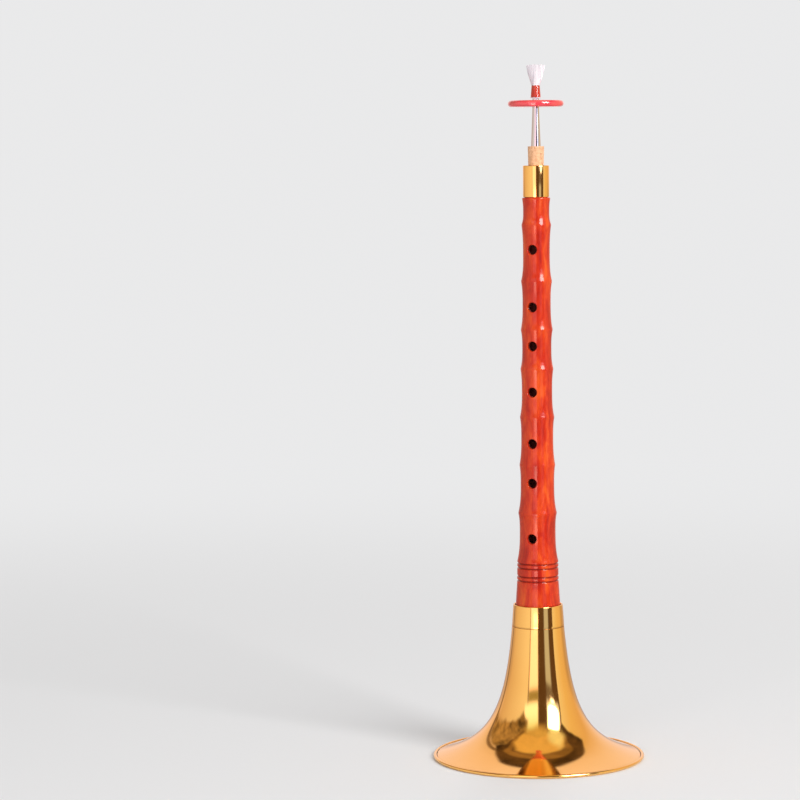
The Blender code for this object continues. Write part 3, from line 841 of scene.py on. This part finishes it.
def make_binding(lacquer):
    low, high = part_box("reed_binding")
    inner = 0.0003
    profile = [
        (BINDING_FOOT_RADIUS - inner, low.z),
        (BINDING_FOOT_RADIUS - LACQUER_SINK, low.z),
        (BINDING_TOP_RADIUS - LACQUER_SINK, high.z),
        (BINDING_TOP_RADIUS - inner, high.z),
    ]
    core = turned("binding_core", profile, SMALL_SIDES)
    mesh = core.data
    bpy.data.objects.remove(core)
    fit(winding_rule(lacquer, mesh), lacquer, "reed", "reed_binding")


def oval_ring(shape, half_width, half_depth, height, sag, rib):
    """A ring wide along X, its faces ribbed like cane, its sides lower than its middle."""
    ring = []
    for side in range(SMALL_SIDES * 2):
        angle = math.tau * side / (SMALL_SIDES * 2)
        across = math.cos(angle)
        ripple = rib * math.cos(REED_RIBS * math.pi * across) * abs(math.sin(angle))
        depth = (half_depth + ripple) * math.sin(angle)
        ring.append(shape.verts.new((half_width * across, depth, height - sag * across ** 2)))
    return ring


def make_reed(cane):
    """A tube that is round at the staple and pressed into two wide blades at the tip."""
    waist_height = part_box("reed_binding")[1].z
    outer_tube = [(0.0031, REED_FOOT), (0.0031, REED_FOOT + 0.0004), (0.0025, REED_FOOT + 0.00045),
                  (0.00205, waist_height)]
    inner_tube = [(0.00218, REED_FOOT), (0.00202, REED_FOOT + 0.0043), (0.00175, waist_height)]
    shape = bmesh.new()
    outer = [oval_ring(shape, radius, radius, height, 0, 0) for radius, height in outer_tube]
    inner = [oval_ring(shape, radius, radius, height, 0, 0) for radius, height in inner_tube]
    steps = 26
    for step in range(steps + 1):
        share = step / steps
        spread = (1 + REED_FAN_BULGE) * share - REED_FAN_BULGE * share ** 2
        half_width = between(REED_WAIST_RADIUS, REED_TIP_HALF_WIDTH, spread)
        half_depth = between(REED_TIP_HALF_DEPTH, REED_WAIST_RADIUS, (1 - share) ** 1.5)
        height = between(waist_height + 0.00015, REED_TIP, share)
        sag = REED_TIP_ARC * share
        rib = REED_RIB_HEIGHT * min(1.0, 4 * share)
        outer.append(oval_ring(shape, half_width, half_depth, height, sag, rib))
        inner.append(oval_ring(shape, half_width - REED_WALL, half_depth - REED_WALL, height, sag, 0))
    for rings in (outer, inner):
        for lower, upper in zip(rings, rings[1:]):
            bridge(shape, lower, upper)
    bridge(shape, outer[0], inner[0])
    bridge(shape, outer[-1], inner[-1])
    fit(finished("reed_blades", shape), cane, "reed", "reed")


# Studio. Azimuths are in degrees from the camera's side, positive to its right.

def window(value, low, high, soft):
    """1 between two limits and 0 outside them, with soft edges."""
    return smooth_step(low - soft, low + soft, value) * (1 - smooth_step(high - soft, high + soft, value))


def outward(azimuth, elevation):
    a, e = math.radians(azimuth), math.radians(elevation)
    return Vector((math.sin(a) * math.cos(e), -math.cos(a) * math.cos(e), math.sin(e)))


def wall_colour(azimuth):
    """The walls: bright beside the camera, warmer and dimmer to the sides, lilac behind."""
    stops = LEFT_WALL if azimuth < 0 else RIGHT_WALL
    for (near, near_colour), (far, far_colour) in zip(stops, stops[1:]):
        if abs(azimuth) <= far:
            share = (abs(azimuth) - near) / (far - near)
            return [between(a, b, share) for a, b in zip(near_colour, far_colour)]
    return list(stops[-1][1])


def warmed(colour):
    return (*[value * warmth for value, warmth in zip(colour, WARMTH)], 1.0)


def card_weight(place, corners, soft):
    """1 inside a card whose corners run clockwise, 0 outside it, on the ceiling seen from below."""
    outside = -1000.0
    for first, second in zip(corners, corners[1:] + corners[:1]):
        run = Vector(second) - Vector(first)
        away = place - Vector(first)
        outside = max(outside, (run.x * away.y - run.y * away.x) / run.length)
    return 1 - smooth_step(-soft, soft, outside)


def dome_colour(azimuth, elevation):
    """What the studio round the object looks like in its metal, seen in one direction."""
    dimming = 1 - 0.30 * smooth_step(108, 132, abs(azimuth)) * (1 - smooth_step(-3, 4, elevation))
    dimming *= 1 - 0.45 * smooth_step(12, 30, -elevation)
    colour = [value * dimming for value in wall_colour(azimuth)]
    high = smooth_step(26, 54, elevation)
    panels = (
        (-34.5, -31.5, -90, 46, (0.22, 0.18, 0.14), 1.0),
        (-31, -1, -90, 13, (2.02, 1.64, 1.98), 3.0),
        (-19, -1, -11, -5, (10.0, 6.4, 6.0), 3.0),
        (-19, -1, -23, -11, (10.0, 7.8, 7.4), 3.5),
        (-190, 190, -90, -42, (0.78, 0.78, 0.95), 4.0),
        (-31, -1, 14, 21, (0.42, 0.40, 0.20), 1.8),
        (-42, -1, 22, 54, (between(1.8, 0.95, high), between(1.9, 1.25, high), between(2.2, 0.9, high)), 3.0),
        (-1, 62, -90, 60, UNLIT, 1.8),
        (25, 44, -90, 10, (0.57, 0.69, 0.93), 3.5),
        (-137, -131, -90, 50, (0.26, 0.20, 0.16), 1.5),
    )
    for first, last, low, top, paint, soft in panels:
        weight = window(azimuth, first, last, soft) * window(elevation, low, top, soft)
        colour = [between(old, new, weight) for old, new in zip(colour, paint)]
    reach = 90 - elevation
    place = Vector((math.sin(math.radians(azimuth)), math.cos(math.radians(azimuth)))) * reach
    cloud = noise.fractal(Vector((place.x / 11, place.y / 11, 2.5)), 0.9, 2.0, 3)
    place += Vector((noise.noise(Vector((place.x / 12, place.y / 12, 7.1))),
                     noise.noise(Vector((place.x / 12, place.y / 12, 3.3))))) * 3.0
    cards = (
        (((-34, -26), (-62, -54), (-65, -10), (-56, 14), (-28, 12)), (0.36, 0.27, 0.15), 3.0, 0.9),
        (((-56, 12), (-44, 46), (-27, 44), (-20, 26), (-28, 6)), (0.32, 0.24, 0.13), 3.0, 0.9),
        (((-14, -37), (-34, -25), (-33, 4), (-20, 26), (50, 26), (48, 4), (44, -25), (4, -38)),
         (0.10, 0.065, 0.035), 1.5, 0.7),
        (((-24, -22), (-34, 9), (-29, 27), (39, 25), (40, 8), (26, -20)), (0.27, 0.18, 0.08), 1.2, 0.5),
        (((-20, -14), (-31, 9), (-29, 27), (36, 25), (37, 8), (21, -12)), (0.16, 0.10, 0.05), 0.8, 0.3),
        (((-22, 12), (-24, 34), (-4, 43), (18, 38), (30, 12)), (0.72, 0.58, 0.25), 8.0, 0.1),
        (((-17, -11), (-27, -1), (-30, 11), (-24, 25), (32, 24), (37, 12), (31, -1), (18, -10)),
         (0.84, 0.64, 0.28), 3.0, 0.1),
        (((20, -4), (14, 18), (26, 40), (40, 28), (36, 6)), (0.92, 1.02, 0.78), 6.0, 0.1),
    )
    for corners, paint, soft, stain in cards:
        weight = card_weight(place, corners, soft)
        stained = [value * max(1 + stain * cloud, 0.3) for value in paint]
        colour = [between(old, new, weight) for old, new in zip(colour, stained)]
    return warmed(colour)


def dome_rows():
    """Radius, height and elevation of the dome's rows: first flat on the floor, then up and over."""
    rows = []
    for radius in (0.075, 0.12, 0.2, 0.35, 0.7, 1.4, DOME_RADIUS):
        rows.append((radius, 0.0004, -math.degrees(math.atan2(EYE_LEVEL, radius))))
    for step in range(int(90 / DOME_STEP)):
        elevation = step * DOME_STEP
        e = math.radians(elevation)
        rows.append((DOME_RADIUS * math.cos(e), EYE_LEVEL + DOME_RADIUS * math.sin(e), elevation))
    return rows


def painted_rows(shape, rows):
    """Rows of points with their paint, from rows of (place, colour)."""
    paint = shape.verts.layers.float_color.new("glow")
    grid = []
    for row in rows:
        line = []
        for place, colour in row:
            vertex = shape.verts.new(place)
            vertex[paint] = colour
            line.append(vertex)
        grid.append(line)
    return grid


def hang(shape, name, glow):
    """Put up a painted surface that only reflections see."""
    piece = finished(name, shape)
    piece.data.materials.append(glow)
    for ray in ("camera", "diffuse", "transmission", "volume_scatter", "shadow"):
        setattr(piece, "visible_" + ray, False)


def glow_paint():
    """Light in the colours that are painted on the mesh."""
    made = bpy.data.materials.new("glow_paint")
    made.use_nodes = True
    tree = made.node_tree
    tree.nodes.remove(tree.nodes["Principled BSDF"])
    glow = tree.nodes.new("ShaderNodeEmission")
    seen = tree.nodes.new("ShaderNodeAttribute")
    seen.attribute_name = "glow"
    tree.links.new(seen.outputs["Color"], glow.inputs["Color"])
    tree.links.new(glow.outputs["Emission"], tree.nodes["Material Output"].inputs["Surface"])
    return made


def make_dome(glow):
    """A dome painted with the studio's bright and dark sides."""
    shape = bmesh.new()
    columns = int(360 / DOME_STEP)
    rows = []
    for radius, height, elevation in dome_rows():
        row = []
        for column in range(columns):
            azimuth = -180 + column * DOME_STEP
            place = outward(azimuth + CAMERA_AZIMUTH, 0) * radius + Vector((0, 0, height))
            row.append((place, dome_colour(azimuth, elevation)))
        rows.append(row)
    grid = painted_rows(shape, rows)
    for lower, upper in zip(grid, grid[1:]):
        bridge(shape, lower, upper)
    shape.faces.new(grid[-1])
    hang(shape, "reflection_dome", glow)


def key_colour(across, height):
    """The softbox's front: a hot middle, a yellow fade at its top, a dull sheet below, unlit sides."""
    fade = smooth_step(0.9, 1.3, height)
    dull = 0.45 + 0.55 * smooth_step(0.44, 0.56, height)
    skirt = (dull * between(1.9, 0.9, fade), dull * between(2.2, 1.0, fade), dull * between(3.2, 0.8, fade))
    lit = window(across, -0.30, 0.34, 0.035) * smooth_step(0.385, 0.435, height)
    colour = [between(dark, bright, lit) for dark, bright in zip(UNLIT, skirt)]
    sheet = window(across, -0.30, 0.03, 0.05) * (1 - 0.85 * smooth_step(0.240, 0.280, height)) * (height < 0.4)
    colour = [between(old, new, sheet) for old, new in zip(colour, (0.62, 0.76, 1.02))]
    reach = 0.235 * smooth_step(0.34, 0.58, height)
    hot = 1 - smooth_step(reach - 0.06, reach + 0.06, abs(across - 0.015))
    hot *= smooth_step(0.450, 0.515, height) * (1 - smooth_step(1.10, 1.24, height))
    pale = (1 - smooth_step(0.05, 0.14, abs(across - 0.015))) * window(height, 0.382, 0.428, 0.016)
    colour = [between(old, new, pale) for old, new in zip(colour, (4.4, 5.0, 7.4))]
    return warmed([between(old, new, hot) for old, new in zip(colour, (20.0, 21.5, 25.5))])


def make_key_card(glow):
    """The softbox as metal and lacquer see it, at its real distance."""
    shape = bmesh.new()
    facing = outward(CAMERA_AZIMUTH + KEY_AZIMUTH, 0)
    aside = Vector((-facing.y, facing.x, 0))
    rows = []
    for level in range(66):
        height = between(0.005, 1.305, level / 65)
        row = []
        for step in range(33):
            across = between(-0.38, 0.42, step / 32)
            place = facing * KEY_DISTANCE + aside * across + Vector((0, 0, height))
            row.append((place, key_colour(across, height)))
        rows.append(row)
    grid = painted_rows(shape, rows)
    for lower, upper in zip(grid, grid[1:]):
        for left in range(len(lower) - 1):
            shape.faces.new((lower[left], lower[left + 1], upper[left + 1], upper[left]))
    hang(shape, "key_card", glow)


def make_floor():
    """Pale paper that keeps the object's shadow and fades into the background far away."""
    reach = 6.0
    shape = bmesh.new()
    bmesh.ops.create_circle(shape, cap_ends=True, segments=96, radius=reach)
    floor = finished("studio_floor", shape)
    made = bpy.data.materials.new("floor_paper")
    made.use_nodes = True
    tree = made.node_tree
    shader = tree.nodes["Principled BSDF"]
    shader.inputs["Base Color"].default_value = (*PAPER, 1)
    shader.inputs["Roughness"].default_value = 0.9
    shader.inputs["Specular IOR Level"].default_value = 0.0
    glow = tree.nodes.new("ShaderNodeEmission")
    glow.inputs["Color"].default_value = (*PAPER, 1)
    place = tree.nodes.new("ShaderNodeTexCoord")
    length = tree.nodes.new("ShaderNodeVectorMath")
    length.operation = "LENGTH"
    tree.links.new(place.outputs["Object"], length.inputs[0])
    fade = tree.nodes.new("ShaderNodeMapRange")
    fade.interpolation_type = "SMOOTHERSTEP"
    fade.inputs["From Min"].default_value = 0.2
    fade.inputs["From Max"].default_value = 1.6
    tree.links.new(length.outputs["Value"], fade.inputs["Value"])
    mix = tree.nodes.new("ShaderNodeMixShader")
    tree.links.new(fade.outputs["Result"], mix.inputs["Fac"])
    tree.links.new(shader.outputs["BSDF"], mix.inputs[1])
    tree.links.new(glow.outputs["Emission"], mix.inputs[2])
    tree.links.new(mix.outputs["Shader"], tree.nodes["Material Output"].inputs["Surface"])
    floor.data.materials.append(made)


def make_world():
    """An even soft light, and the paper's colour where camera, mirror and glass rays look past the floor."""
    world = bpy.data.worlds.new("studio_air")
    bpy.context.scene.world = world
    world.use_nodes = True
    tree = world.node_tree
    seen = tree.nodes["Background"]
    seen.inputs["Color"].default_value = (*PAPER, 1)
    light = tree.nodes.new("ShaderNodeBackground")
    light.inputs["Color"].default_value = (1.0, 0.99, 0.98, 1)
    light.inputs["Strength"].default_value = 0.48
    ray = tree.nodes.new("ShaderNodeLightPath")
    sight = ray.outputs["Is Camera Ray"]
    for output in ("Is Glossy Ray", "Is Transmission Ray"):
        either = tree.nodes.new("ShaderNodeMath")
        either.operation = "MAXIMUM"
        tree.links.new(sight, either.inputs[0])
        tree.links.new(ray.outputs[output], either.inputs[1])
        sight = either.outputs["Value"]
    mix = tree.nodes.new("ShaderNodeMixShader")
    tree.links.new(sight, mix.inputs["Fac"])
    tree.links.new(light.outputs["Background"], mix.inputs[1])
    tree.links.new(seen.outputs["Background"], mix.inputs[2])
    tree.links.new(mix.outputs["Shader"], tree.nodes["World Output"].inputs["Surface"])


def make_softbox(name, azimuth, distance, height, width, length, radiance):
    """A rectangular lamp at an azimuth, facing the lower part of the stem."""
    light = bpy.data.lights.new(name, "AREA")
    light.shape = "RECTANGLE"
    light.size = width
    light.size_y = length
    light.energy = radiance * math.pi * width * length
    lamp = bpy.data.objects.new(name, light)
    bpy.context.scene.collection.objects.link(lamp)
    lamp.location = outward(CAMERA_AZIMUTH + azimuth, 0) * distance + Vector((0, 0, height))
    aim = Vector((0, 0, EYE_LEVEL)) - lamp.location
    lamp.rotation_euler = aim.to_track_quat("-Z", "Y").to_euler()
    lamp.visible_camera = False
    lamp.visible_glossy = False


def make_camera():
    data = bpy.data.cameras.new("camera")
    data.lens = CAMERA_LENS
    camera = bpy.data.objects.new("camera", data)
    bpy.context.scene.collection.objects.link(camera)
    place = outward(CAMERA_AZIMUTH, 0) * CAMERA_DISTANCE + Vector((0, 0, CAMERA_HEIGHT))
    heading = math.radians(CAMERA_AZIMUTH + CAMERA_YAW)
    level = Matrix.Rotation(heading, 4, "Z") @ Matrix.Rotation(math.radians(90 - CAMERA_PITCH), 4, "X")
    camera.matrix_world = Matrix.Translation(place) @ level @ Matrix.Rotation(math.radians(CAMERA_ROLL), 4, "Z")
    bpy.context.scene.camera = camera


def make_studio():
    make_camera()
    make_world()
    make_floor()
    glow = glow_paint()
    make_dome(glow)
    make_key_card(glow)
    make_softbox("key_softbox", KEY_AZIMUTH, 3.0, 1.72, 1.43, 1.83, 10.0)
    make_softbox("left_softbox", -16, 2.7, 1.15, 1.7, 1.6, 1.9)
    make_softbox("back_softbox", 172, 2.4, 1.9, 1.4, 1.2, 3.2)
    bpy.context.scene.view_settings.view_transform = "Standard"


def build():
    brass = lacquered_brass()
    make_bell(brass)
    make_collar(brass)
    make_stem(rosewood(), bare_bore())
    bark = cork()
    make_tenon_cork(bark)
    make_ferrule(brass)
    make_staple(plated_silver())
    make_staple_cork(bark)
    make_lip_disc(disc_plastic())
    make_binding(binding_lacquer())
    make_reed(pale_cane())
    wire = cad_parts["rim_wire"]
    wire.data.materials.clear()
    wire.data.materials.append(steel_wire())
    make_studio()


build()
